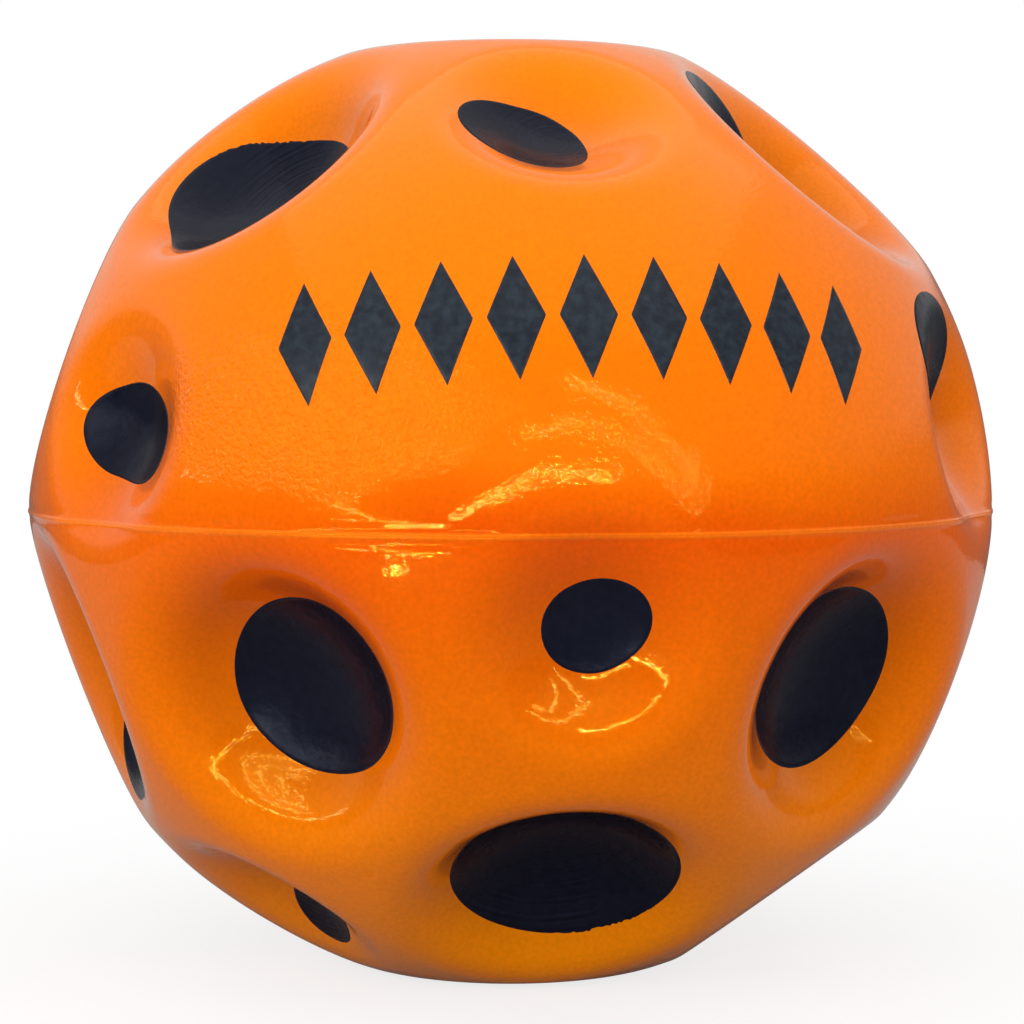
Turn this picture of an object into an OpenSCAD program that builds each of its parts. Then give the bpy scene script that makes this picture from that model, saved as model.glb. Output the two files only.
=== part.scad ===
// Bouncy ball with round craters, moulded in soft foam under a glossy skin.
// The frame is the ball's own: origin at its centre, +Z up through the two pole craters,
// and -Y out through the middle of the smooth band at the front.

/* [Ball] */
// Diameter of the ball over its smooth skin
ball_d = 65; // [62:1:80]
// Thickness of the glossy skin round the foam
skin_t = 1; // [0.5:0.1:1.5]

/* [Large craters] */
// Width of a large crater, where its bowl would meet the ball at a sharp edge
large_mouth_d = 17.6; // [15:0.2:18]
// Depth of a large crater below the ball's round surface
large_depth = 6; // [4:0.2:7]
// Radius that rounds the rim of a large crater
large_rim_r = 2.9; // [2:0.1:3]
// Diameter of the ink in the large craters next to the parting line
near_ink_d = 12.4; // [8:0.2:15]
// Diameter of the ink in the large craters further up and down
far_ink_d = 14.2; // [8:0.2:15]

/* [Small craters] */
// Width of a small crater, where its bowl would meet the ball at a sharp edge
small_mouth_d = 12.2; // [9:0.2:13]
// Depth of a small crater below the ball's round surface
small_depth = 3.4; // [2:0.2:5]
// Radius that rounds the rim of a small crater
small_rim_r = 3.4; // [2:0.1:4]
// Diameter of the ink in a small crater
small_ink_d = 7.4; // [4:0.2:9]

/* [Ink] */
// Thickness of the ink that lies in the craters
ink_t = 0.1; // [0.05:0.05:0.3]

/* [Parting line] */
// Width of the bead where the two halves of the skin meet
bead_w = 0.8; // [0.4:0.1:1.6]
// Height of that bead above the skin
bead_h = 0.12; // [0.05:0.01:0.3]

/* [Front print] */
// Number of lozenges in the printed row
lozenge_count = 9; // [3:2:9]
// Height of a lozenge
lozenge_h = 8.2; // [4:0.2:9]
// Width of a lozenge
lozenge_w = 3.6; // [2:0.2:4]
// Straight distance from one lozenge to the next
lozenge_pitch = 4.2; // [4.1:0.1:5.4]
// Height of the row's middle above the ball's centre
print_z = 12.7; // [11:0.1:14]
// Thickness of the printed ink
print_t = 0.08; // [0.04:0.02:0.2]

/* [Hidden] */
$fn = 96;
// Overrun of every cut past the face that it opens
over = 1;
// Fine ledge between the ball's round surface and the rounding of a rim
rim_ledge = 0.02;
ball_r = ball_d / 2;

// The craters lie like the patches of a football that stands on one of its larger patches:
// large craters at its twenty six-sided places, small ones at its twelve five-sided places.
// Elevations of the rings of places above the parting line; those below it mirror them.
shoulder_el = asin(sqrt(5) / 3);
crown_el = asin(sqrt((5 + 2 * sqrt(5)) / 15));
upper_el = asin(1 / 3);
above_line_el = asin(sqrt((5 - 2 * sqrt(5)) / 15));
// Turn about Z from a shoulder crater to each of the two large places below it
side_turn = acos(sqrt(5 / 8));
// The layout repeats every third of a turn, and the lower half is turned by half of that
third = 360 / 3;
sixth = third / 2;

// Each crater is [width of the mouth, depth, radius of the rim]
large = [large_mouth_d, large_depth, large_rim_r];
small = [small_mouth_d, small_depth, small_rim_r];

// Places are [azimuth, elevation]: azimuth 0 is the front, -Y, and it grows towards +X
pole_places = [[0, 90], [0, -90]];
shoulder_places = [for (k = [0:2]) [sixth + third * k, shoulder_el]];
crown_places = [for (k = [0:2]) [third * k, crown_el]];
// The two large places of this ring that face the front are left smooth for the print
upper_places = [for (k = [0:2], side = [-1, 1])
    let (azimuth = sixth + third * k + side * side_turn)
    if (cos(azimuth) < cos(side_turn)) [azimuth, upper_el]];
above_line_places = [for (k = [0:2]) [sixth + third * k, above_line_el]];
below_line_places = [for (k = [0:2]) [third * k, -above_line_el]];
lower_places = [for (k = [0:2], side = [-1, 1]) [third * k + side * side_turn, -upper_el]];
base_places = [for (k = [0:2]) [sixth + third * k, -crown_el]];
foot_places = [for (k = [0:2]) [third * k, -shoulder_el]];

large_places = concat(pole_places, shoulder_places, upper_places, lower_places, foot_places);
small_places = concat(crown_places, above_line_places, below_line_places, base_places);

// Distance of the centre of a crater's bowl from the ball's centre, and the bowl's radius
function floor_lift(crater) = ball_r - crater[1];
function mouth_lift(crater) = sqrt(pow(ball_r, 2) - pow(crater[0] / 2, 2));
function bowl_lift(crater) = (pow(ball_r, 2) - pow(floor_lift(crater), 2))
    / (2 * (mouth_lift(crater) - floor_lift(crater)));
function bowl_r(crater) = bowl_lift(crater) - floor_lift(crater);

// The rounding of a rim runs smoothly into the bowl and ends in the fine ledge at the ball's
// surface; this is its middle, seen in a section through the crater's axis, as a distance
// from the ball's centre and as an angle from that axis
function rim_lift(crater) = ball_r - crater[2] - rim_ledge;
function rim_angle(crater) = acos((pow(bowl_lift(crater), 2) + pow(rim_lift(crater), 2)
    - pow(bowl_r(crater) + crater[2], 2)) / (2 * bowl_lift(crater) * rim_lift(crater)));
function along(angle, r) = [r * sin(angle), r * cos(angle)];

// Angle that the parting line's bead takes up on either side of the middle
bead_angle = asin(bead_w / ball_d);
// Angle from one lozenge to the next, and the elevation of the row's middle
lozenge_turn = 2 * asin(lozenge_pitch / ball_d);
print_el = asin(print_z / ball_r);

// Turns a child that is drawn round +Z to its place on the ball
module placed(place) rotate([0, 90 - place[1], place[0] - 90]) children();

// Section of what a crater takes away from a ball that is grown evenly by grow
module crater_section(crater, grow) {
    angle = rim_angle(crater);
    middle = along(angle, rim_lift(crater));
    outside = ball_r + grow + over;
    lift = bowl_lift(crater);
    top = max(lift, outside / cos(angle)) + over;
    difference() {
        union() {
            intersection() {
                translate([0, lift]) circle(bowl_r(crater) - grow);
                square(lift);
            }
            polygon([[0, lift], middle, along(angle, outside), [0, top]]);
        }
        translate(middle) circle(crater[2] + grow);
    }
}

// Cuts all craters of one kind that reach between two elevations
module craters(crater, places, grow, from_el, to_el) {
    reach = rim_angle(crater);
    for (place = places)
        if (place[1] + reach > from_el && place[1] - reach < to_el)
            placed(place) rotate_extrude() crater_section(crater, grow);
}

// The ball with its craters, grown evenly by grow, true between two elevations
module ball_shape(grow, from_el = -90, to_el = 90) {
    difference() {
        sphere(ball_r + grow);
        craters(large, large_places, grow, from_el, to_el);
        craters(small, small_places, grow, from_el, to_el);
    }
}

// A disc that takes in the ball from the parting line up to a height, or down to it
module slice(side, height) {
    mirror([0, 0, side < 0 ? 1 : 0]) cylinder(r = ball_r + over, h = height);
}

// One half of the skin, with its half of the bead; side is 1 above and -1 below
module skin_half(side) {
    difference() {
        union() {
            intersection() {
                ball_shape(0, min(0, side * 90), max(0, side * 90));
                slice(side, ball_r + over);
            }
            intersection() {
                ball_shape(bead_h, -bead_angle, bead_angle);
                slice(side, bead_w / 2);
            }
        }
        ball_shape(-skin_t);
    }
}

// A layer of ink over the floor of a crater
module ink_disc(crater, place, ink_d) {
    color([0.09, 0.10, 0.16]) placed(place) rotate_extrude() intersection() {
        difference() {
            crater_section(crater, 0);
            crater_section(crater, ink_t);
        }
        square([ink_d / 2, ball_r]);
    }
}

// One printed lozenge, drawn round +Z and bent to the skin
module lozenge() {
    intersection() {
        difference() {
            sphere(ball_r + print_t);
            sphere(ball_r);
        }
        linear_extrude(ball_r + over) polygon([
            [-lozenge_h / 2, 0], [0, lozenge_w / 2], [lozenge_h / 2, 0], [0, -lozenge_w / 2],
        ]);
    }
}

module foam_core() { color([0.93, 0.87, 0.70]) ball_shape(-skin_t); }
module skin_upper() { color([0.98, 0.52, 0.05]) skin_half(1); }
module skin_lower() { color([0.94, 0.46, 0.04]) skin_half(-1); }

module front_print() {
    color([0.09, 0.10, 0.16])
        for (step = [-(lozenge_count - 1) / 2 : (lozenge_count - 1) / 2])
            placed([0, print_el]) rotate([step * lozenge_turn, 0, 0]) lozenge();
}

foam_core();
skin_upper();
skin_lower();
front_print();

ink_disc(large, pole_places[0], far_ink_d);  // ink_top
ink_disc(large, shoulder_places[0], far_ink_d);  // ink_shoulder_1
ink_disc(large, shoulder_places[1], far_ink_d);  // ink_shoulder_2
ink_disc(large, shoulder_places[2], far_ink_d);  // ink_shoulder_3
ink_disc(small, crown_places[0], small_ink_d);  // ink_crown_1
ink_disc(small, crown_places[1], small_ink_d);  // ink_crown_2
ink_disc(small, crown_places[2], small_ink_d);  // ink_crown_3
ink_disc(large, upper_places[0], near_ink_d);  // ink_upper_1
ink_disc(large, upper_places[1], near_ink_d);  // ink_upper_2
ink_disc(large, upper_places[2], near_ink_d);  // ink_upper_3
ink_disc(large, upper_places[3], near_ink_d);  // ink_upper_4
ink_disc(small, above_line_places[0], small_ink_d);  // ink_above_line_1
ink_disc(small, above_line_places[1], small_ink_d);  // ink_above_line_2
ink_disc(small, above_line_places[2], small_ink_d);  // ink_above_line_3
ink_disc(small, below_line_places[0], small_ink_d);  // ink_below_line_1
ink_disc(small, below_line_places[1], small_ink_d);  // ink_below_line_2
ink_disc(small, below_line_places[2], small_ink_d);  // ink_below_line_3
ink_disc(large, lower_places[0], near_ink_d);  // ink_lower_1
ink_disc(large, lower_places[1], near_ink_d);  // ink_lower_2
ink_disc(large, lower_places[2], near_ink_d);  // ink_lower_3
ink_disc(large, lower_places[3], near_ink_d);  // ink_lower_4
ink_disc(large, lower_places[4], near_ink_d);  // ink_lower_5
ink_disc(large, lower_places[5], near_ink_d);  // ink_lower_6
ink_disc(small, base_places[0], small_ink_d);  // ink_base_1
ink_disc(small, base_places[1], small_ink_d);  // ink_base_2
ink_disc(small, base_places[2], small_ink_d);  // ink_base_3
ink_disc(large, foot_places[0], far_ink_d);  // ink_foot_1
ink_disc(large, foot_places[1], far_ink_d);  // ink_foot_2
ink_disc(large, foot_places[2], far_ink_d);  // ink_foot_3
ink_disc(large, pole_places[1], far_ink_d);  // ink_bottom
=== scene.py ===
"""Looks of the bouncy ball: a glossy moulded skin with round craters, ink in them and a printed row."""
import math

import bpy
import numpy as np
from mathutils import Matrix, Vector

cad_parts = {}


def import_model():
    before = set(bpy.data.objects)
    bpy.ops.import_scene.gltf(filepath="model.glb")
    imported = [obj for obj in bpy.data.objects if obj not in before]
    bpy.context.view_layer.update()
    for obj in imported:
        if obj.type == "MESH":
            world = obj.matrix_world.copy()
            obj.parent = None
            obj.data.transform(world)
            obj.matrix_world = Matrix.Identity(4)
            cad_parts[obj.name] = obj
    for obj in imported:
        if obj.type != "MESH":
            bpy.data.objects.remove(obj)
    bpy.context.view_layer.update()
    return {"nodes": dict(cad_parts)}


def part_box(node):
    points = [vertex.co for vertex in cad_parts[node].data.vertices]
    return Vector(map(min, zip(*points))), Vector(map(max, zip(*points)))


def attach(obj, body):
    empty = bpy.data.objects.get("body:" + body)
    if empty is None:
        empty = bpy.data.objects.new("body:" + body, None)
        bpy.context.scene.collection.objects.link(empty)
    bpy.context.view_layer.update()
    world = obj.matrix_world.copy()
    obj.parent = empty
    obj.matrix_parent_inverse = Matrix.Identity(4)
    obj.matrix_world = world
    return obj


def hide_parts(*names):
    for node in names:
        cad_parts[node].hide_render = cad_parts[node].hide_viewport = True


BODY = "root"
# A millimetre in metres
MM = 0.001

# The ball, in millimetres
BALL_R = 32.5
# Bead on the parting line: half width, height and fullness, the groove in its middle, and the
# faint hollow on each side of it
BEAD_HALF, BEAD_H, BEAD_FULL = 0.20, 0.075, 1.3
GROOVE_DEPTH, GROOVE_W = 0.025, 0.05
SINK_DEPTH, SINK_AT, SINK_W = 0.02, 0.45, 0.20
# Craters: half-angle of the mouth in degrees, depth, and the width over which the rim is softened
LARGE = {"half": 15.7, "depth": 6.3, "soft": 3.1}
SMALL = {"half": 10.8, "depth": 3.2, "soft": 2.4}
# Elevations of the rings of craters, and the turn from a shoulder or foot crater to its two
# neighbours in the next ring
SHOULDER_EL = math.degrees(math.asin(math.sqrt(5) / 3))
CROWN_EL = math.degrees(math.asin(math.sqrt((5 + 2 * math.sqrt(5)) / 15)))
UPPER_EL = math.degrees(math.asin(1 / 3))
LINE_EL = math.degrees(math.asin(math.sqrt((5 - 2 * math.sqrt(5)) / 15)))
SIDE_TURN = math.degrees(math.acos(math.sqrt(5 / 8)))
THIRD, SIXTH = 120, 60
# Angle from a crater's axis past which it leaves the ball alone
CRATER_REACH = 34.0
# The skin is looked for from just above the ball down to this far below its surface, along a
# radius, or along a crater's axis for the ink in it
ABOVE, BELOW, INK_BELOW = 0.01, 8.0, 16.0
# Thickness of the skin, as its inner face shows where the ball is cut
SKIN_T = 1.0
# The mesh of a half of the skin: sectors round its pole, rings from the pole down on the outer and
# the inner face, the heights of the last outer rings, which lie close together over the bead, and
# the height up to which the bead shapes them
SECTORS, SKIN_RINGS, INNER_RINGS = 6, 210, 70
LINE_RINGS = [1.6, 1.25, 0.95, 0.7, 0.52, 0.42, 0.36, 0.32, 0.28, 0.23, 0.18, 0.13, 0.09, 0.06,
              0.035, 0.015, 0.0]
LINE_NEAR = 2.0

# Ink lies this far above the skin, and dips this far into it over the width of its edge
INK_LIFT, INK_TUCK, INK_EDGE = 0.05, 0.10, 0.22
# Rings of an ink disc: how many lie inside its edge and how close they come to its middle, then
# those across the edge and those of its underside, as shares of the edge and of the radius
INK_RINGS, INK_SPOKES = 30, 216
INK_FIRST, INK_SPREAD = 0.02, 0.8
EDGE_RINGS, UNDER_RINGS = (0.7, 0.4, 0.2, 0.05), (0.85, 0.6, 0.3)
# Small waves round the edge of the ink, and the length of its teeth
RIPPLE, RIPPLE_WAVES, TOOTH = 0.03, range(4, 9), 0.08
# Mean radius of the ink in each ring of craters
INK_R = {"top": 6.8, "bottom": 6.8, "shoulder": 6.6, "crown": 3.7, "upper": 6.2, "above_line": 3.6,
         "below_line": 3.4, "lower": 6.2, "base": 3.4, "foot": 6.9}
# Where the photo doesn't show the ink, chance sets how far it lies off the axis, its size as a
# share of the mean, and the two and three waves round its edge
GUESS_SEED, GUESS_OFF, GUESS_SIZE, GUESS_TWO, GUESS_THREE = 7, 0.6, (0.96, 1.03), 0.1, 0.05

# Ink as the photo shows it: middle in the crater's own plane, east and north of its axis, mean
# radius, and two and three waves round its edge, all in millimetres
SEEN_INK = {
    "ink_crown_1": ((-1.98, -0.48), 3.84, (0.18, -0.32), (-0.12, 0.07)),
    "ink_shoulder_1": ((-1.9, 3.35), 6.2, (0.1, 0.1), (0.0, 0.1)),
    "ink_shoulder_3": ((-1.43, -1.11), 6.72, (0.03, -0.40), (-0.41, 0.14)),
    "ink_above_line_1": ((-2.0, 4.5), 4.5, (0.1, 0.0), (0.0, 0.1)),
    "ink_above_line_3": ((-0.42, -0.13), 3.73, (0.72, -0.31), (-0.08, -0.15)),
    "ink_below_line_1": ((0.54, 0.25), 3.15, (0.17, 0.15), (0.01, 0.04)),
    "ink_lower_1": ((1.28, -0.16), 6.10, (0.18, 0.17), (-0.05, -0.01)),
    "ink_lower_2": ((0.12, -0.18), 6.20, (0.03, -0.01), (0.03, 0.08)),
    "ink_lower_6": ((0.2, -4.1), 5.5, (0.1, 0.1), (0.05, 0.0)),
    "ink_base_3": ((0.0, -3.25), 2.60, (0.0, 0.0), (0.0, 0.0)),
    "ink_foot_1": ((0.5, -0.25), 7.15, (0.12, 0.0), (0.0, 0.05)),
}

# Where the edge of the ink is drawn out into fine teeth: direction from east, and half spread
INK_TEETH = {"ink_shoulder_3": (125, 30), "ink_foot_1": (-62, 24)}
# The ink's UVs are a flat map of its crater, with the axis at this place
UV_MIDDLE = 0.5

# The printed row: how many lozenges, their size and spacing, how high up the ball they are, how
# they lie on the skin and over which width their edge dips, and the steps of their mesh
LOZENGES = 9
LOZENGE_H, LOZENGE_W, LOZENGE_PITCH = 8.2, 3.6, 4.2
LOZENGE_TURN = 2 * math.degrees(math.asin(LOZENGE_PITCH / 2 / BALL_R))
PRINT_UP = 12.7
PRINT_EL = math.degrees(math.asin(PRINT_UP / BALL_R))
PRINT_LIFT, PRINT_TUCK, PRINT_EDGE = 0.035, 0.05, 0.10
LOZENGE_STEPS = 26

# Camera, taken from the photo: its distance from the ball's centre, its height and turn in
# degrees, and the ball's outline in a picture 1024 pixels wide
CAMERA_DISTANCE = 5.8 * BALL_R
CAMERA_EL = 3.1
CAMERA_AZ = -8.7
PICTURE = 1024
OUTLINE_R = 481.7
OUTLINE_X, OUTLINE_Y = 510.4, 506.6
# Width of the sensor in millimetres, and the nearest and furthest that it sees in metres
SENSOR = 36.0
NEAREST, FURTHEST = 0.01, 20

# Colours of the skin, linear, with painted light and shade in them: from the bottom pole up to the
# top one by share of the height, lighter and yellower to the poles and darker and redder round the
# parting line, then painted light towards the sides, a painted highlight on the parting line, and
# how much of the last two is mixed in at most
SKIN_COLOURS_AND_PAINTED_LIGHT = [(0.00, (0.84, 0.245, 0.001)), (0.22, (0.78, 0.172, 0.001)),
                (0.40, (0.75, 0.114, 0.001)), (0.49, (0.77, 0.080, 0.001)),
                (0.56, (0.94, 0.160, 0.001)), (1.00, (0.96, 0.210, 0.001))]
SIDE_PAINTED_LIGHT_COLOUR, SIDE_PAINTED_LIGHT_SHARE = (0.86, 0.175, 0.001), 0.65
LINE_HIGHLIGHT_COLOUR, LINE_HIGHLIGHT_SHARE = (0.98, 0.220, 0.006), 0.45
# Height in metres over which the painted highlight on the parting line fades out
LINE_HIGHLIGHT_FADE = (0.00012, 0.00024)
# Painted shade: the colour is darker deeper down in the craters: distance from the ball's centre in
# metres, and the share of the colour that stays
CRATER_SHADE_FADE, CRATER_SHADE_SHARE = (0.0285, 0.0320), 0.80
# Scales of the skin's noises, per metre: cloudy shift of colour, patches of grain, swell, gloss,
# orange peel, grain and flecks
CLOUD, PATCH, SWELL, GLOSS, PEEL, GRAIN, FLECK = 45, 55, 140, 300, 700, 3200, 3400
CLOUD_SHARE = 0.12
# Brightness of the flecks and roughness of the gloss, each as its lowest value and its span
FLECK_RANGE, GLOSS_RANGE = (0.83, 0.32), (0.03, 0.07)
# Depths of the bumps in metres
SWELL_H, PEEL_H, GRAIN_H = 0.00010, 0.000008, 0.000034
# Grain in the patches, from faint to full, and in the one pebbled spot: its direction, its reach
# in metres, how much flatter than wide it is, and its strength
PATCHES = [(0.38, (0.12,) * 3), (0.60, (0.42,) * 3)]
PEBBLED_AT, PEBBLED_REACH, PEBBLED_FLAT, PEBBLED = (-30, 14), (0.007, 0.014), 2.2, 4.5

# Ink in the craters: its colours, linear, and its turned lines: their two pitches in millimetres,
# their size, and how far they waver as a share of the ball's width
INK_COLOURS = [(0.25, (0.0015, 0.0020, 0.0065)), (0.85, (0.009, 0.011, 0.024))]
TURNED_PITCHES, TURNED_SIZE, TURNED_WAVER = (0.46, 0.31), 0.25, 0.006
# Scales of the ink's noises, per metre: where the lines are worn, how they waver, broad sag, haze
# in the gloss and specks; then the depths of its bumps in metres
WORN, WAVER, SAG, HAZE, SPECK = 130, 150, 200, 500, 1500
TURNED_H, SAG_H, SPECK_H = 0.000009, 0.00012, 0.000034
# The lines come and go, and are stronger away from the parting line: height in metres, strength
LINES_WORN = [(0.45, (0.05,) * 3), (0.66, (0.9,) * 3)]
LINES_AT, LINES_STRENGTH = (0.011, 0.020), (0.2, 1.3)
# Place on the ink's colours without lines and specks, and what each of the two adds to it
INK_TONE, LINES_SHARE, SPECK_SHARE = 0.24, 0.40, 0.40
# Roughness of the ink, as its lowest value and its span
HAZE_RANGE = (0.16, 0.22)

# Printed ink and foam: linear colours, scales of the noises per metre, depths of the bumps in
# metres, and the roughness of the printed ink as its lowest value and its span
PRINT_COLOURS = [(0.35, (0.006, 0.009, 0.016)), (0.70, (0.017, 0.026, 0.038))]
PRINT_FLECK, PRINT_SURFACE, PRINT_HAZE, PRINT_H = 1800, 900, 400, 0.000012
PRINT_RANGE = (0.15, 0.25)
FOAM_COLOURS = [(0.3, (0.62, 0.52, 0.32)), (0.7, (0.80, 0.70, 0.46))]
FOAM_CELLS, FOAM_H = 1400, 0.0001

# Floor: radius in millimetres, how much light it throws back, and to the camera how white it is
# near the ball and at which distances in metres that turns to plain white
FLOOR_R, FLOOR_SPOKES, FLOOR_GREY = 260.0, 96, 0.42
FLOOR_NEAR, FLOOR_FADE = 0.78, (0.04, 0.10)

# Large lamps: direction, distance and size in metres, power in watts
OVERHEAD = {"azimuth": -10, "elevation": 80, "distance": 0.60, "size": (1.0, 0.9), "power": 1.75}
WINDOW = {"azimuth": -44, "elevation": 18, "distance": 0.55, "size": (0.52, 0.13), "power": 0.25}
FILL = {"azimuth": 72, "elevation": 8, "distance": 0.60, "size": (0.5, 0.3), "power": 0.42}
# Brightness of the tent by the sine of the height above the horizon
TENT = [(0.0, (0.13,) * 3), (0.10, (0.16,) * 3), (0.21, (0.68,) * 3), (1.0, (0.64,) * 3)]
# Thin strips, each from one direction to another (azimuth, elevation), with its brightness and
# its distance from the ball in metres: three bent lines in front, short ones low at the left, one
# further round, and four slats
STRIPS = [((-21, 0), (-2, 10), 85, 0.5), ((-2, 10), (14, 10), 120, 0.5),
          ((-6, 18), (5, 21), 44, 0.5), ((5, 21), (17, 17), 44, 0.5), ((17, 17), (34, 2), 36, 0.5),
          ((6, 30), (20, 24), 50, 0.5), ((20, 24), (35, 6), 36, 0.5),
          ((-34, -6), (-21, -5), 110, 0.2), ((-33, -9), (-29, -9), 220, 0.17),
          ((-29, -3), (-47, -2), 50, 0.3), ((-29, -3), (-56, 6), 45, 0.3),
          ((-92, 7), (-48, 6), 40, 0.4),
          ((-72, 12), (-18, 12), 26, 0.5), ((-70, 17), (-18, 17), 26, 0.5),
          ((-68, 22), (-20, 22), 26, 0.5), ((-62, 27), (-24, 27), 26, 0.5)]
# Width of a strip as a share of its distance
STRIP_SHARE = 0.006


def direction(azimuth, elevation):
    """Unit vector; azimuth 0 is the front, -Y, and grows towards +X."""
    a, e = math.radians(azimuth), math.radians(elevation)
    return np.array([math.cos(e) * math.sin(a), -math.cos(e) * math.cos(a), math.sin(e)])


def tangents(azimuth, elevation):
    """Unit vectors east and north of a direction."""
    a, e = math.radians(azimuth), math.radians(elevation)
    east = np.array([math.cos(a), math.sin(a), 0.0])
    north = np.array([-math.sin(e) * math.sin(a), math.sin(e) * math.cos(a), math.cos(e)])
    return east, north


def crater_table():
    """Every crater: CAD node of its ink, direction, shape, and the outline of its ink."""
    rows = []

    def add(ring, azimuth, elevation, kind, number=None):
        node = f"ink_{ring}" if number is None else f"ink_{ring}_{number}"
        chance = np.random.default_rng(GUESS_SEED + len(rows))
        guess = (tuple(chance.normal(0, GUESS_OFF, 2)), INK_R[ring] * chance.uniform(*GUESS_SIZE),
                 tuple(chance.normal(0, GUESS_TWO, 2)), tuple(chance.normal(0, GUESS_THREE, 2)))
        middle, radius, two, three = SEEN_INK.get(node, guess)
        rows.append(dict(kind, node=node, az=azimuth, el=elevation, middle=middle,
                         ink_r=radius, two=two, three=three, teeth=INK_TEETH.get(node)))

    add("top", 0, 90, LARGE)
    add("bottom", 0, -90, LARGE)
    for k in range(3):
        turn, number = THIRD * k, k + 1
        add("shoulder", SIXTH + turn, SHOULDER_EL, LARGE, number)
        add("crown", turn, CROWN_EL, SMALL, number)
        add("above_line", SIXTH + turn, LINE_EL, SMALL, number)
        add("below_line", turn, -LINE_EL, SMALL, number)
        add("base", SIXTH + turn, -CROWN_EL, SMALL, number)
        add("foot", turn, -SHOULDER_EL, LARGE, number)
        add("lower", turn - SIDE_TURN, -UPPER_EL, LARGE, 2 * k + 1)
        add("lower", turn + SIDE_TURN, -UPPER_EL, LARGE, 2 * k + 2)
    uppers = [SIXTH + SIDE_TURN, SIXTH + THIRD - SIDE_TURN]
    uppers += [360 - azimuth for azimuth in reversed(uppers)]
    for number, azimuth in enumerate(uppers, 1):
        add("upper", azimuth, UPPER_EL, LARGE, number)
    return rows


def finish_crater(row):
    """Adds the crater's bowl: its axis, the distance of its centre and its radius."""
    floor = 1 - row["depth"] / BALL_R
    lift = (1 - floor * floor) / (2 * (math.cos(math.radians(row["half"])) - floor))
    row["axis"] = direction(row["az"], row["el"])
    row["lift"] = lift * BALL_R
    row["bowl"] = (lift - floor) * BALL_R
    return row


CRATERS = [finish_crater(row) for row in crater_table()]


def soft_max(a, b, width):
    """The larger of two values, rounded where they are about equal."""
    share = np.maximum(width - np.abs(a - b), 0) / width
    return np.maximum(a, b) + share * share * width / 4


def near_craters(points):
    """The craters that touch each point, as (crater, indices of its points)."""
    units = points / np.linalg.norm(points, axis=1)[:, None]
    limit = math.cos(math.radians(CRATER_REACH))
    found = ((row, np.nonzero(units @ row["axis"] > limit)[0]) for row in CRATERS)
    return [(row, where) for row, where in found if len(where)]


def field(points, near):
    """Distance-like value of each point: negative in the ball, positive outside and in a crater."""
    value = np.linalg.norm(points, axis=1) - BALL_R
    for row, where in near:
        hollow = row["bowl"] - np.linalg.norm(points[where] - row["axis"] * row["lift"], axis=1)
        value[where] = soft_max(value[where], hollow, row["soft"])
    return value


def settle(base, along, below, steps=24):
    """Moves each point from base along its own unit vector to the skin."""
    low, high = np.full(len(base), BALL_R - below), np.full(len(base), BALL_R + ABOVE)
    near = near_craters(base + along * high[:, None])
    for _ in range(steps):
        middle = (low + high) / 2
        outside = field(base + along * middle[:, None], near) > 0
        high = np.where(outside, middle, high)
        low = np.where(outside, low, middle)
    return base + along * ((low + high) / 2)[:, None]


def normals(points, gap=0.02):
    """Outward unit normals of the skin at these points."""
    near = near_craters(points)
    slope = np.zeros_like(points)
    for axis in range(3):
        step = np.zeros(3)
        step[axis] = gap
        slope[:, axis] = field(points + step, near) - field(points - step, near)
    return slope / np.linalg.norm(slope, axis=1)[:, None]


def make_mesh(name, points, faces, material, uv=None):
    """A smooth-shaded object from points in millimetres, with optional UVs for each point."""
    mesh = bpy.data.meshes.new(name)
    mesh.from_pydata((points * MM).tolist(), [], faces)
    mesh.polygons.foreach_set("use_smooth", [True] * len(mesh.polygons))
    if uv is not None:
        layer = mesh.uv_layers.new(name="UVMap")
        corner = np.zeros(len(mesh.loops), np.int32)
        mesh.loops.foreach_get("vertex_index", corner)
        layer.data.foreach_set("uv", uv[corner].astype(np.float32).ravel())
    mesh.materials.append(material)
    mesh.update()
    made = bpy.data.objects.new(name, mesh)
    bpy.context.scene.collection.objects.link(made)
    return made


def bead_height(z):
    """Height of the parting line's bead, with its groove and the faint hollow beside it."""
    crown = BEAD_H * np.clip(1 - (z / BEAD_HALF) ** 2, 0, 1) ** BEAD_FULL
    groove = GROOVE_DEPTH * np.exp(-(z / GROOVE_W) ** 2)
    sink = SINK_DEPTH * np.exp(-((np.abs(z) - SINK_AT) / SINK_W) ** 2)
    return crown - groove - sink


def ring_units(azimuth_count, rise):
    """Unit vectors round one ring at an elevation in radians."""
    turn = np.radians(np.arange(azimuth_count) * 360 / azimuth_count)
    return np.c_[math.cos(rise) * np.sin(turn), -math.cos(rise) * np.cos(turn),
                 np.full(azimuth_count, math.sin(rise))]


def dome(rings, lowest):
    """Triangles of even size from the pole down to an elevation in degrees: units and faces."""
    step = (90 - lowest) / rings
    units, faces, inner, outer = [direction(0, 90)[None]], [], 0, 1
    for ring in range(1, rings + 1):
        count, before = SECTORS * ring, max(SECTORS * (ring - 1), 1)
        units.append(ring_units(count, math.radians(90 - ring * step)))
        for sector in range(SECTORS):
            for j in range(ring):
                a = outer + sector * ring + j
                b = outer + (sector * ring + j + 1) % count
                c = inner + (sector * (ring - 1) + j) % before
                faces.append((a, b, c))
                if j:
                    faces.append((inner + sector * (ring - 1) + j - 1, a, c))
        inner, outer = outer, outer + count
    return np.vstack(units), faces


def outer_face():
    """The outer face of one half, with rings close together at the parting line: units, faces."""
    rises = [math.degrees(math.asin(z / BALL_R)) for z in LINE_RINGS]
    units, faces = dome(SKIN_RINGS, rises[0])
    count = SECTORS * SKIN_RINGS
    edge = len(units) - count
    for rise in rises[1:]:
        units = np.vstack([units, ring_units(count, math.radians(rise))])
        for j in range(count):
            after = (j + 1) % count
            faces.append((edge + count + j, edge + count + after, edge + after, edge + j))
        edge += count
    return units, faces


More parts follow.
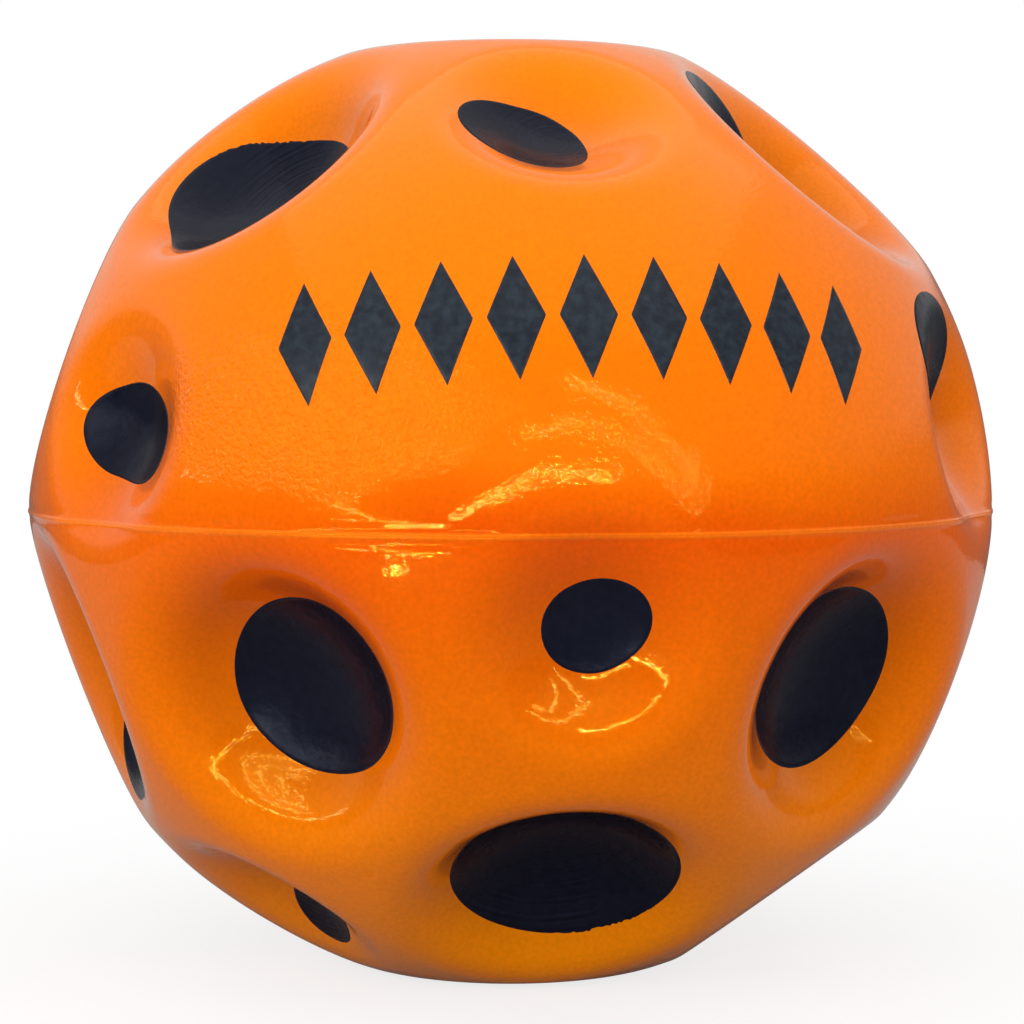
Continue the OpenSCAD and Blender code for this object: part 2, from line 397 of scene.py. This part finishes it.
def half_shell():
    """Both faces of one half and the flat ring that joins them: units, faces, outer points."""
    units, faces = outer_face()
    inside, inside_faces = dome(INNER_RINGS, 0)
    outer, count, few = len(units), SECTORS * SKIN_RINGS, SECTORS * INNER_RINGS
    faces += [tuple(outer + corner for corner in face[::-1]) for face in inside_faces]
    edge, inner_edge, each = outer - count, outer + len(inside) - few, count // few
    for j in range(few):
        after = inner_edge + (j + 1) % few
        row = [edge + (j * each + k) % count for k in range(each + 1)]
        faces += [(inner_edge + j, row[k + 1], row[k]) for k in range(each)]
        faces.append((inner_edge + j, after, row[each]))
    return np.vstack([units, inside]), faces, outer


def skin_half(name, side, material):
    """One half of the skin, a closed shell from its pole to the parting line; side is 1 or -1."""
    units, faces, outer = half_shell()
    units[:, 2] *= side
    if side < 0:
        faces = [face[::-1] for face in faces]
    points = settle(np.zeros_like(units), units, BELOW)
    skin = np.arange(len(points)) < outer
    on_line = (np.abs(points[:, 2]) < LINE_NEAR) & skin
    points[on_line] += units[on_line] * bead_height(points[on_line, 2])[:, None]
    points[~skin] -= units[~skin] * SKIN_T
    return make_mesh(name, points, faces, material)


def ink_outline(row, turn, seed):
    """Radius of a crater's ink at each angle from east, round its own slightly uneven edge."""
    chance = np.random.default_rng(seed)
    two, three = (part[0] * np.cos(wave * turn) + part[1] * np.sin(wave * turn)
                  for wave, part in ((2, row["two"]), (3, row["three"])))
    edge = row["ink_r"] / np.sqrt(1 - 2 * two / row["ink_r"]) + three
    for wave in RIPPLE_WAVES:
        size, phase = RIPPLE / wave * chance.normal(), chance.uniform(0, 6.28)
        edge += size * np.cos(wave * turn + phase)
    if row["teeth"]:
        middle, spread = row["teeth"]
        off = (np.degrees(turn) - middle + 180) % 360 - 180
        edge += TOOTH * np.exp(-(off / spread) ** 2) * chance.uniform(-1, 1, INK_SPOKES)
    return edge


def disc_faces(rings):
    """Faces of a closed disc: its middle, rings of points, and a last point underneath."""
    faces = [(0, 1 + j, 1 + (j + 1) % INK_SPOKES) for j in range(INK_SPOKES)]
    for ring in range(rings - 1):
        inner, outer = 1 + ring * INK_SPOKES, 1 + (ring + 1) * INK_SPOKES
        for j in range(INK_SPOKES):
            after = (j + 1) % INK_SPOKES
            faces.append((inner + j, outer + j, outer + after, inner + after))
    last, end = 1 + (rings - 1) * INK_SPOKES, 1 + rings * INK_SPOKES
    return faces + [(last + (j + 1) % INK_SPOKES, last + j, end) for j in range(INK_SPOKES)]


def ink_disc(row, material, seed):
    """The ink in one crater: a thin layer over the skin, closed underneath."""
    axis, (east, north) = row["axis"], tangents(row["az"], row["el"])
    turn = np.arange(INK_SPOKES) * 2 * math.pi / INK_SPOKES
    edge = ink_outline(row, turn, seed)
    rim = INK_EDGE / row["ink_r"]
    share = np.r_[np.linspace(INK_FIRST, 1, INK_RINGS) ** INK_SPREAD * (1 - rim),
                  [1 - rim * k for k in EDGE_RINGS], 1.0]
    under = np.array(UNDER_RINGS)
    radius = np.r_[share, under][:, None] * edge[None]
    spokes = np.cos(turn)[:, None] * east + np.sin(turn)[:, None] * north
    middle = row["middle"][0] * east + row["middle"][1] * north
    base = (radius[..., None] * spokes[None]).reshape(-1, 3) + middle
    base = np.vstack([middle[None], base, middle[None]])
    points = settle(base, np.tile(axis, (len(base), 1)), INK_BELOW, steps=28)
    left = np.repeat((1 - share) * row["ink_r"], INK_SPOKES)
    rise = -INK_TUCK + (INK_LIFT + INK_TUCK) * np.clip(left / INK_EDGE, 0, 1) ** 0.5
    lift = np.r_[INK_LIFT, rise, np.full(len(under) * INK_SPOKES + 1, -INK_TUCK)]
    points = points + normals(points) * lift[:, None]
    flat = np.c_[points @ east, points @ north] / (2 * BALL_R) + UV_MIDDLE
    faces = disc_faces(len(share) + len(under))
    return make_mesh("look_" + row["node"], points, faces, material, flat)


def front_print(material):
    """The printed row: lozenges on a great circle across the smooth band."""
    middle, (east, north) = direction(0, PRINT_EL), tangents(0, PRINT_EL)
    ticks = np.linspace(-1, 1, LOZENGE_STEPS)
    across, up = np.meshgrid(ticks, ticks)
    side = np.minimum(1 - np.abs(across), 1 - np.abs(up)).ravel() * LOZENGE_W / 2
    x = ((across - up) / 2).ravel() * LOZENGE_W / 2
    y = ((across + up) / 2).ravel() * LOZENGE_H / 2
    each = len(x)
    border = side <= 0
    under = np.arange(each)
    under[~border] = each + np.arange(np.count_nonzero(~border))
    all_points, faces, start = [], [], 0
    for k in range(LOZENGES):
        turn = math.radians((k - (LOZENGES - 1) / 2) * LOZENGE_TURN)
        axis = math.cos(turn) * middle + math.sin(turn) * east
        local_east = -math.sin(turn) * middle + math.cos(turn) * east
        base = x[:, None] * local_east + y[:, None] * north
        points = settle(base, np.tile(axis, (each, 1)), BELOW)
        out = normals(points)
        lift = -PRINT_TUCK + (PRINT_LIFT + PRINT_TUCK) * np.clip(side / PRINT_EDGE, 0, 1)
        all_points.append(points + out * lift[:, None])
        all_points.append((points - out * PRINT_TUCK)[~border])
        for row in range(LOZENGE_STEPS - 1):
            for column in range(LOZENGE_STEPS - 1):
                a = row * LOZENGE_STEPS + column
                corners = (a, a + 1, a + 1 + LOZENGE_STEPS, a + LOZENGE_STEPS)
                faces.append(tuple(start + c for c in corners))
                faces.append(tuple(start + under[c] for c in reversed(corners)))
        start += each + np.count_nonzero(~border)
    return make_mesh("look_front_print", np.vstack(all_points), faces, material)


def new_material(name):
    """A material with nodes; returns it, its node tree and its Principled shader."""
    material = bpy.data.materials.new(name)
    material.use_nodes = True
    return material, material.node_tree, material.node_tree.nodes["Principled BSDF"]


def feed(tree, socket, value):
    """Links a socket to another node's output, or sets it to a plain value."""
    if isinstance(value, bpy.types.NodeSocket):
        tree.links.new(value, socket)
    else:
        socket.default_value = value


def maths(tree, kind, *values):
    """A Math node on outputs or numbers."""
    node = tree.nodes.new("ShaderNodeMath")
    node.operation = kind
    for socket, value in zip(node.inputs, values):
        feed(tree, socket, value)
    return node.outputs[0]


def vectors(tree, kind, *values, scale=None):
    """A Vector Math node on outputs or vectors; returns its number or its vector."""
    node = tree.nodes.new("ShaderNodeVectorMath")
    node.operation = kind
    for socket, value in zip(node.inputs, values):
        feed(tree, socket, value)
    if scale is not None:
        feed(tree, node.inputs["Scale"], scale)
    return node.outputs["Value" if kind in ("LENGTH", "DISTANCE", "DOT_PRODUCT") else "Vector"]


def mapped(tree, value, source, target, smooth=True):
    """A value carried from one range of numbers to another, and held at its ends."""
    node = tree.nodes.new("ShaderNodeMapRange")
    node.interpolation_type = "SMOOTHSTEP" if smooth else "LINEAR"
    tree.links.new(value, node.inputs["Value"])
    for name, number in zip(("From Min", "From Max", "To Min", "To Max"), (*source, *target)):
        node.inputs[name].default_value = number
    return node.outputs[0]


def noise(tree, place, scale, detail=2.0):
    """A noise texture of a scale per metre; returns its value."""
    node = tree.nodes.new("ShaderNodeTexNoise")
    node.inputs["Scale"].default_value = scale
    node.inputs["Detail"].default_value = detail
    tree.links.new(place, node.inputs["Vector"])
    return node.outputs["Fac"]


def uneven(tree, place, scale, detail, lowest, span):
    """A noise from a lowest number upwards over a span."""
    return maths(tree, "MULTIPLY_ADD", noise(tree, place, scale, detail), span, lowest)


def ramp(tree, value, stops):
    """A colour ramp on a value; stops are (position, linear colour)."""
    node = tree.nodes.new("ShaderNodeValToRGB")
    band = node.color_ramp
    while len(band.elements) < len(stops):
        band.elements.new(0.5)
    for element, (position, colour) in zip(band.elements, stops):
        element.position = position
        element.color = (*colour, 1)
    tree.links.new(value, node.inputs["Fac"])
    return node.outputs["Color"]


def mixed(tree, share, colour, second):
    """A colour mixed with a second, plain linear one."""
    node = tree.nodes.new("ShaderNodeMix")
    node.data_type = "RGBA"
    tree.links.new(share, node.inputs["Factor"])
    tree.links.new(colour, node.inputs["A"])
    node.inputs["B"].default_value = (*second, 1)
    return node.outputs["Result"]


def bump(tree, height, distance, under=None):
    """A bump of a given depth in metres, on top of another one."""
    node = tree.nodes.new("ShaderNodeBump")
    node.inputs["Distance"].default_value = distance
    tree.links.new(height, node.inputs["Height"])
    if under is not None:
        tree.links.new(under, node.inputs["Normal"])
    return node.outputs["Normal"]


def apart(tree, place):
    """The three coordinates of a place."""
    node = tree.nodes.new("ShaderNodeSeparateXYZ")
    tree.links.new(place, node.inputs[0])
    return node.outputs


def skin_colour(tree, place):
    """Painted light and shade: redder round the parting line, yellower to the poles, a painted
    highlight on the parting line and painted shade deeper in the craters; and flecked.
    """
    x, _, z = apart(tree, place)
    # Painted light and shade by height: lighter, yellower poles and a darker, redder belt round the
    # parting line
    height = maths(tree, "MULTIPLY_ADD", z, 1 / (2 * BALL_R * MM), 0.5)
    cloudy = maths(tree, "MULTIPLY_ADD", noise(tree, place, CLOUD, 3), CLOUD_SHARE, height)
    colour = ramp(tree, maths(tree, "SUBTRACT", cloudy, CLOUD_SHARE / 2), SKIN_COLOURS_AND_PAINTED_LIGHT)
    # Painted light towards the sides
    across = maths(tree, "MULTIPLY", x, 1 / (BALL_R * MM))
    side = maths(tree, "MULTIPLY", maths(tree, "MULTIPLY", across, across), SIDE_PAINTED_LIGHT_SHARE)
    colour = mixed(tree, side, colour, SIDE_PAINTED_LIGHT_COLOUR)
    # Painted highlight on the parting line's bead
    line = mapped(tree, maths(tree, "ABSOLUTE", z), LINE_HIGHLIGHT_FADE, (LINE_HIGHLIGHT_SHARE, 0), smooth=False)
    colour = mixed(tree, line, colour, LINE_HIGHLIGHT_COLOUR)
    # Painted shade, darker deeper down in the craters
    shade = mapped(tree, vectors(tree, "LENGTH", place), CRATER_SHADE_FADE, (CRATER_SHADE_SHARE, 1))
    fleck = uneven(tree, place, FLECK, 2, *FLECK_RANGE)
    return vectors(tree, "SCALE", colour, scale=maths(tree, "MULTIPLY", fleck, shade))


def skin_surface(tree, place):
    """A slight swell, fine orange peel, and grain that is strongest in the pebbled spot."""
    flat = np.array([1, 1, PEBBLED_FLAT])
    middle = direction(*PEBBLED_AT) * BALL_R * MM * flat
    gap = vectors(tree, "DISTANCE", vectors(tree, "MULTIPLY", place, flat), middle)
    pebbled = mapped(tree, gap, PEBBLED_REACH, (PEBBLED, 0))
    strength = maths(tree, "ADD", ramp(tree, noise(tree, place, PATCH), PATCHES), pebbled)
    grain = maths(tree, "MULTIPLY", noise(tree, place, GRAIN, 1), strength)
    surface = bump(tree, noise(tree, place, SWELL), SWELL_H)
    surface = bump(tree, noise(tree, place, PEEL), PEEL_H, surface)
    return bump(tree, grain, GRAIN_H, surface)


def orange_skin():
    """Glossy moulded skin under a thin clear coat."""
    material, tree, shader = new_material("orange_skin")
    place = tree.nodes.new("ShaderNodeTexCoord").outputs["Object"]
    surface = skin_surface(tree, place)
    for name, value in (("Base Color", skin_colour(tree, place)), ("IOR", 1.45),
                        ("Roughness", uneven(tree, place, GLOSS, 4, *GLOSS_RANGE)),
                        ("Normal", surface), ("Coat Normal", surface),
                        ("Specular Tint", (1.0, 0.62, 0.02, 1)),
                        ("Coat Weight", 0.05), ("Coat Roughness", 0.03),
                        ("Coat Tint", (1.0, 0.96, 0.90, 1))):
        feed(tree, shader.inputs[name], value)
    return material


def turned_lines(tree, place, flat):
    """Fine lines turned round the middle of a crater floor, which come and go."""
    out = vectors(tree, "LENGTH", vectors(tree, "SUBTRACT", flat, (UV_MIDDLE, UV_MIDDLE, 0)))
    out = maths(tree, "MULTIPLY_ADD", noise(tree, place, WAVER), TURNED_WAVER, out)
    wide, fine = (maths(tree, "SINE", maths(tree, "MULTIPLY", out, 4 * math.pi * BALL_R / pitch))
                  for pitch in TURNED_PITCHES)
    lines = maths(tree, "MULTIPLY", maths(tree, "ADD", wide, fine), TURNED_SIZE)
    lines = maths(tree, "MULTIPLY", lines, ramp(tree, noise(tree, place, WORN), LINES_WORN))
    height = maths(tree, "ABSOLUTE", apart(tree, place)["Z"])
    return maths(tree, "MULTIPLY", lines,
                 mapped(tree, height, LINES_AT, LINES_STRENGTH, smooth=False))


def turned_ink():
    """Glossy ink over the fine turned lines of a crater floor."""
    material, tree, shader = new_material("crater_ink")
    coordinates = tree.nodes.new("ShaderNodeTexCoord").outputs
    place = coordinates["Object"]
    lines = turned_lines(tree, place, coordinates["UV"])
    specks = noise(tree, place, SPECK, 3)
    tone = maths(tree, "MULTIPLY_ADD", lines, LINES_SHARE, INK_TONE)
    tone = maths(tree, "MULTIPLY_ADD", specks, SPECK_SHARE, tone)
    surface = bump(tree, noise(tree, place, SAG), SAG_H)
    surface = bump(tree, lines, TURNED_H, surface)
    surface = bump(tree, specks, SPECK_H, surface)
    for name, value in (("Base Color", ramp(tree, tone, INK_COLOURS)), ("Normal", surface),
                        ("Roughness", uneven(tree, place, HAZE, 3, *HAZE_RANGE)),
                        ("Specular IOR Level", 0.14), ("Specular Tint", (0.74, 0.80, 1.0, 1))):
        feed(tree, shader.inputs[name], value)
    return material


def printed_ink():
    """Glossy printed ink with fine flecks."""
    material, tree, shader = new_material("print_ink")
    place = tree.nodes.new("ShaderNodeTexCoord").outputs["Object"]
    surface = bump(tree, noise(tree, place, PRINT_SURFACE), PRINT_H)
    tint = ramp(tree, noise(tree, place, PRINT_FLECK, 3), PRINT_COLOURS)
    for name, value in (("Base Color", tint), ("Normal", surface), ("Specular IOR Level", 0.22),
                        ("Roughness", uneven(tree, place, PRINT_HAZE, 3, *PRINT_RANGE))):
        feed(tree, shader.inputs[name], value)
    return material


def foam():
    """Matt fine-celled foam, seen only where the ball is cut."""
    material, tree, shader = new_material("foam")
    place = tree.nodes.new("ShaderNodeTexCoord").outputs["Object"]
    cells = noise(tree, place, FOAM_CELLS, 4)
    for name, value in (("Base Color", ramp(tree, cells, FOAM_COLOURS)), ("Roughness", 0.9),
                        ("Normal", bump(tree, cells, FOAM_H))):
        feed(tree, shader.inputs[name], value)
    return material


def blended(tree, share, first, second):
    """Two shaders mixed by a share, 0 for the first."""
    node = tree.nodes.new("ShaderNodeMixShader")
    for socket, value in zip(node.inputs, (share, first, second)):
        tree.links.new(value, socket)
    return node.outputs[0]


def plain(tree, kind, brightness=1.0):
    """A shader of a kind in a plain grey or white."""
    node = tree.nodes.new(kind)
    node.inputs["Color"].default_value = (brightness, brightness, brightness, 1)
    return node.outputs[0]


def pale_stage():
    """Pale floor, white to the camera but for a faint shadow; clear when seen from beneath."""
    material, tree, _ = new_material("pale_stage")
    tree.nodes.clear()
    place = tree.nodes.new("ShaderNodeTexCoord").outputs["Object"]
    away = mapped(tree, vectors(tree, "LENGTH", place), FLOOR_FADE, (FLOOR_NEAR, 1))
    seen = blended(tree, away, plain(tree, "ShaderNodeBsdfDiffuse"),
                   plain(tree, "ShaderNodeEmission"))
    to_camera = tree.nodes.new("ShaderNodeLightPath").outputs["Is Camera Ray"]
    paper = plain(tree, "ShaderNodeBsdfDiffuse", FLOOR_GREY)
    beneath = tree.nodes.new("ShaderNodeNewGeometry").outputs["Backfacing"]
    clear = tree.nodes.new("ShaderNodeBsdfTransparent").outputs[0]
    whole = blended(tree, beneath, blended(tree, to_camera, paper, seen), clear)
    out = tree.nodes.new("ShaderNodeOutputMaterial")
    tree.links.new(whole, out.inputs["Surface"])
    return material


def floor_plane():
    """A wide round floor under the ball."""
    turn = np.arange(FLOOR_SPOKES) * 2 * math.pi / FLOOR_SPOKES
    ring = np.c_[np.cos(turn), np.sin(turn), np.zeros(FLOOR_SPOKES)] * FLOOR_R
    points = np.vstack([[[0, 0, 0]], ring])
    points[:, 2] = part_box("skin_lower")[0].z / MM
    faces = [(0, 1 + j, 1 + (j + 1) % FLOOR_SPOKES) for j in range(FLOOR_SPOKES)]
    return make_mesh("floor", points, faces, pale_stage())


def area_lamp(name, size, power, placed):
    """A rectangular lamp that the camera doesn't see, with its place and turn as a matrix."""
    lamp = bpy.data.lights.new(name, "AREA")
    lamp.shape = "RECTANGLE"
    lamp.size, lamp.size_y = size
    lamp.energy = power
    holder = bpy.data.objects.new(name, lamp)
    holder.matrix_world = placed
    holder.visible_camera = False
    bpy.context.scene.collection.objects.link(holder)
    return holder


def lamp_at(name, azimuth, elevation, distance, size, power):
    """A lamp that faces the ball from one direction."""
    spot = Vector(direction(azimuth, elevation) * distance)
    facing = spot.to_track_quat("Z", "Y").to_matrix().to_4x4()
    return area_lamp(name, size, power, Matrix.Translation(spot) @ facing)


def lamp_between(name, start, end, width, glow, distance):
    """A thin strip lamp between two directions, each (azimuth, elevation), seen as a bright line."""
    a, b = (Vector(direction(*place)) * distance for place in (start, end))
    middle, along = (a + b) / 2, (b - a).normalized()
    across = middle.normalized().cross(along).normalized()
    turned = Matrix((along, across, along.cross(across))).transposed().to_4x4()
    length = (b - a).length
    power = glow * math.pi * length * width
    return area_lamp(name, (length, width), power, Matrix.Translation(middle) @ turned)


def lights():
    """Soft overhead light, a window to the left, a fill that leaves no reflection, and strips."""
    lamp_at("overhead", **OVERHEAD)
    lamp_at("window", **WINDOW).data.shape = "ELLIPSE"
    lamp_at("fill", **FILL).visible_glossy = False
    for number, (start, end, glow, distance) in enumerate(STRIPS, 1):
        lamp_between(f"strip_{number}", start, end, distance * STRIP_SHARE, glow, distance)


def studio_world():
    """A pale tent all round, dimmer near the horizon; white to the camera."""
    world = bpy.data.worlds.new("studio")
    bpy.context.scene.world = world
    world.use_nodes = True
    tree = world.node_tree
    tree.nodes.clear()
    way = tree.nodes.new("ShaderNodeTexCoord").outputs["Generated"]
    rise = vectors(tree, "DOT_PRODUCT", way, (0, 0, 1))
    tent = tree.nodes.new("ShaderNodeBackground")
    tree.links.new(ramp(tree, rise, TENT), tent.inputs["Color"])
    to_camera = tree.nodes.new("ShaderNodeLightPath").outputs["Is Camera Ray"]
    white = plain(tree, "ShaderNodeBackground")
    out = tree.nodes.new("ShaderNodeOutputWorld")
    tree.links.new(blended(tree, to_camera, tent.outputs[0], white), out.inputs["Surface"])


def camera():
    """The photo's view of the ball."""
    data = bpy.data.cameras.new("camera")
    data.sensor_width = SENSOR
    distance = CAMERA_DISTANCE / BALL_R
    data.lens = OUTLINE_R * math.sqrt(distance ** 2 - 1) / PICTURE * SENSOR
    data.shift_x = (PICTURE / 2 - OUTLINE_X) / PICTURE
    data.shift_y = (OUTLINE_Y - PICTURE / 2) / PICTURE
    data.clip_start, data.clip_end = NEAREST, FURTHEST
    holder = bpy.data.objects.new("camera", data)
    holder.location = Vector(direction(CAMERA_AZ, CAMERA_EL) * CAMERA_DISTANCE * MM)
    holder.rotation_euler = holder.location.to_track_quat("Z", "Y").to_euler()
    bpy.context.scene.collection.objects.link(holder)
    bpy.context.scene.camera = holder


def main():
    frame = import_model()
    bpy.context.scene.view_settings.view_transform = "Standard"

    skin = orange_skin()
    ink = turned_ink()
    printed = printed_ink()
    core = frame["nodes"]["foam_core"]
    core.data.materials.clear()
    core.data.materials.append(foam())

    for name, side in (("skin_upper", 1), ("skin_lower", -1)):
        half = skin_half("look_" + name, side, skin)
        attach(half, BODY)
        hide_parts(name)
    for seed, row in enumerate(CRATERS):
        disc = ink_disc(row, ink, seed)
        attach(disc, BODY)
        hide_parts(row["node"])
    row_print = front_print(printed)
    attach(row_print, BODY)
    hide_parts("front_print")

    floor_plane()
    studio_world()
    lights()
    camera()


main()
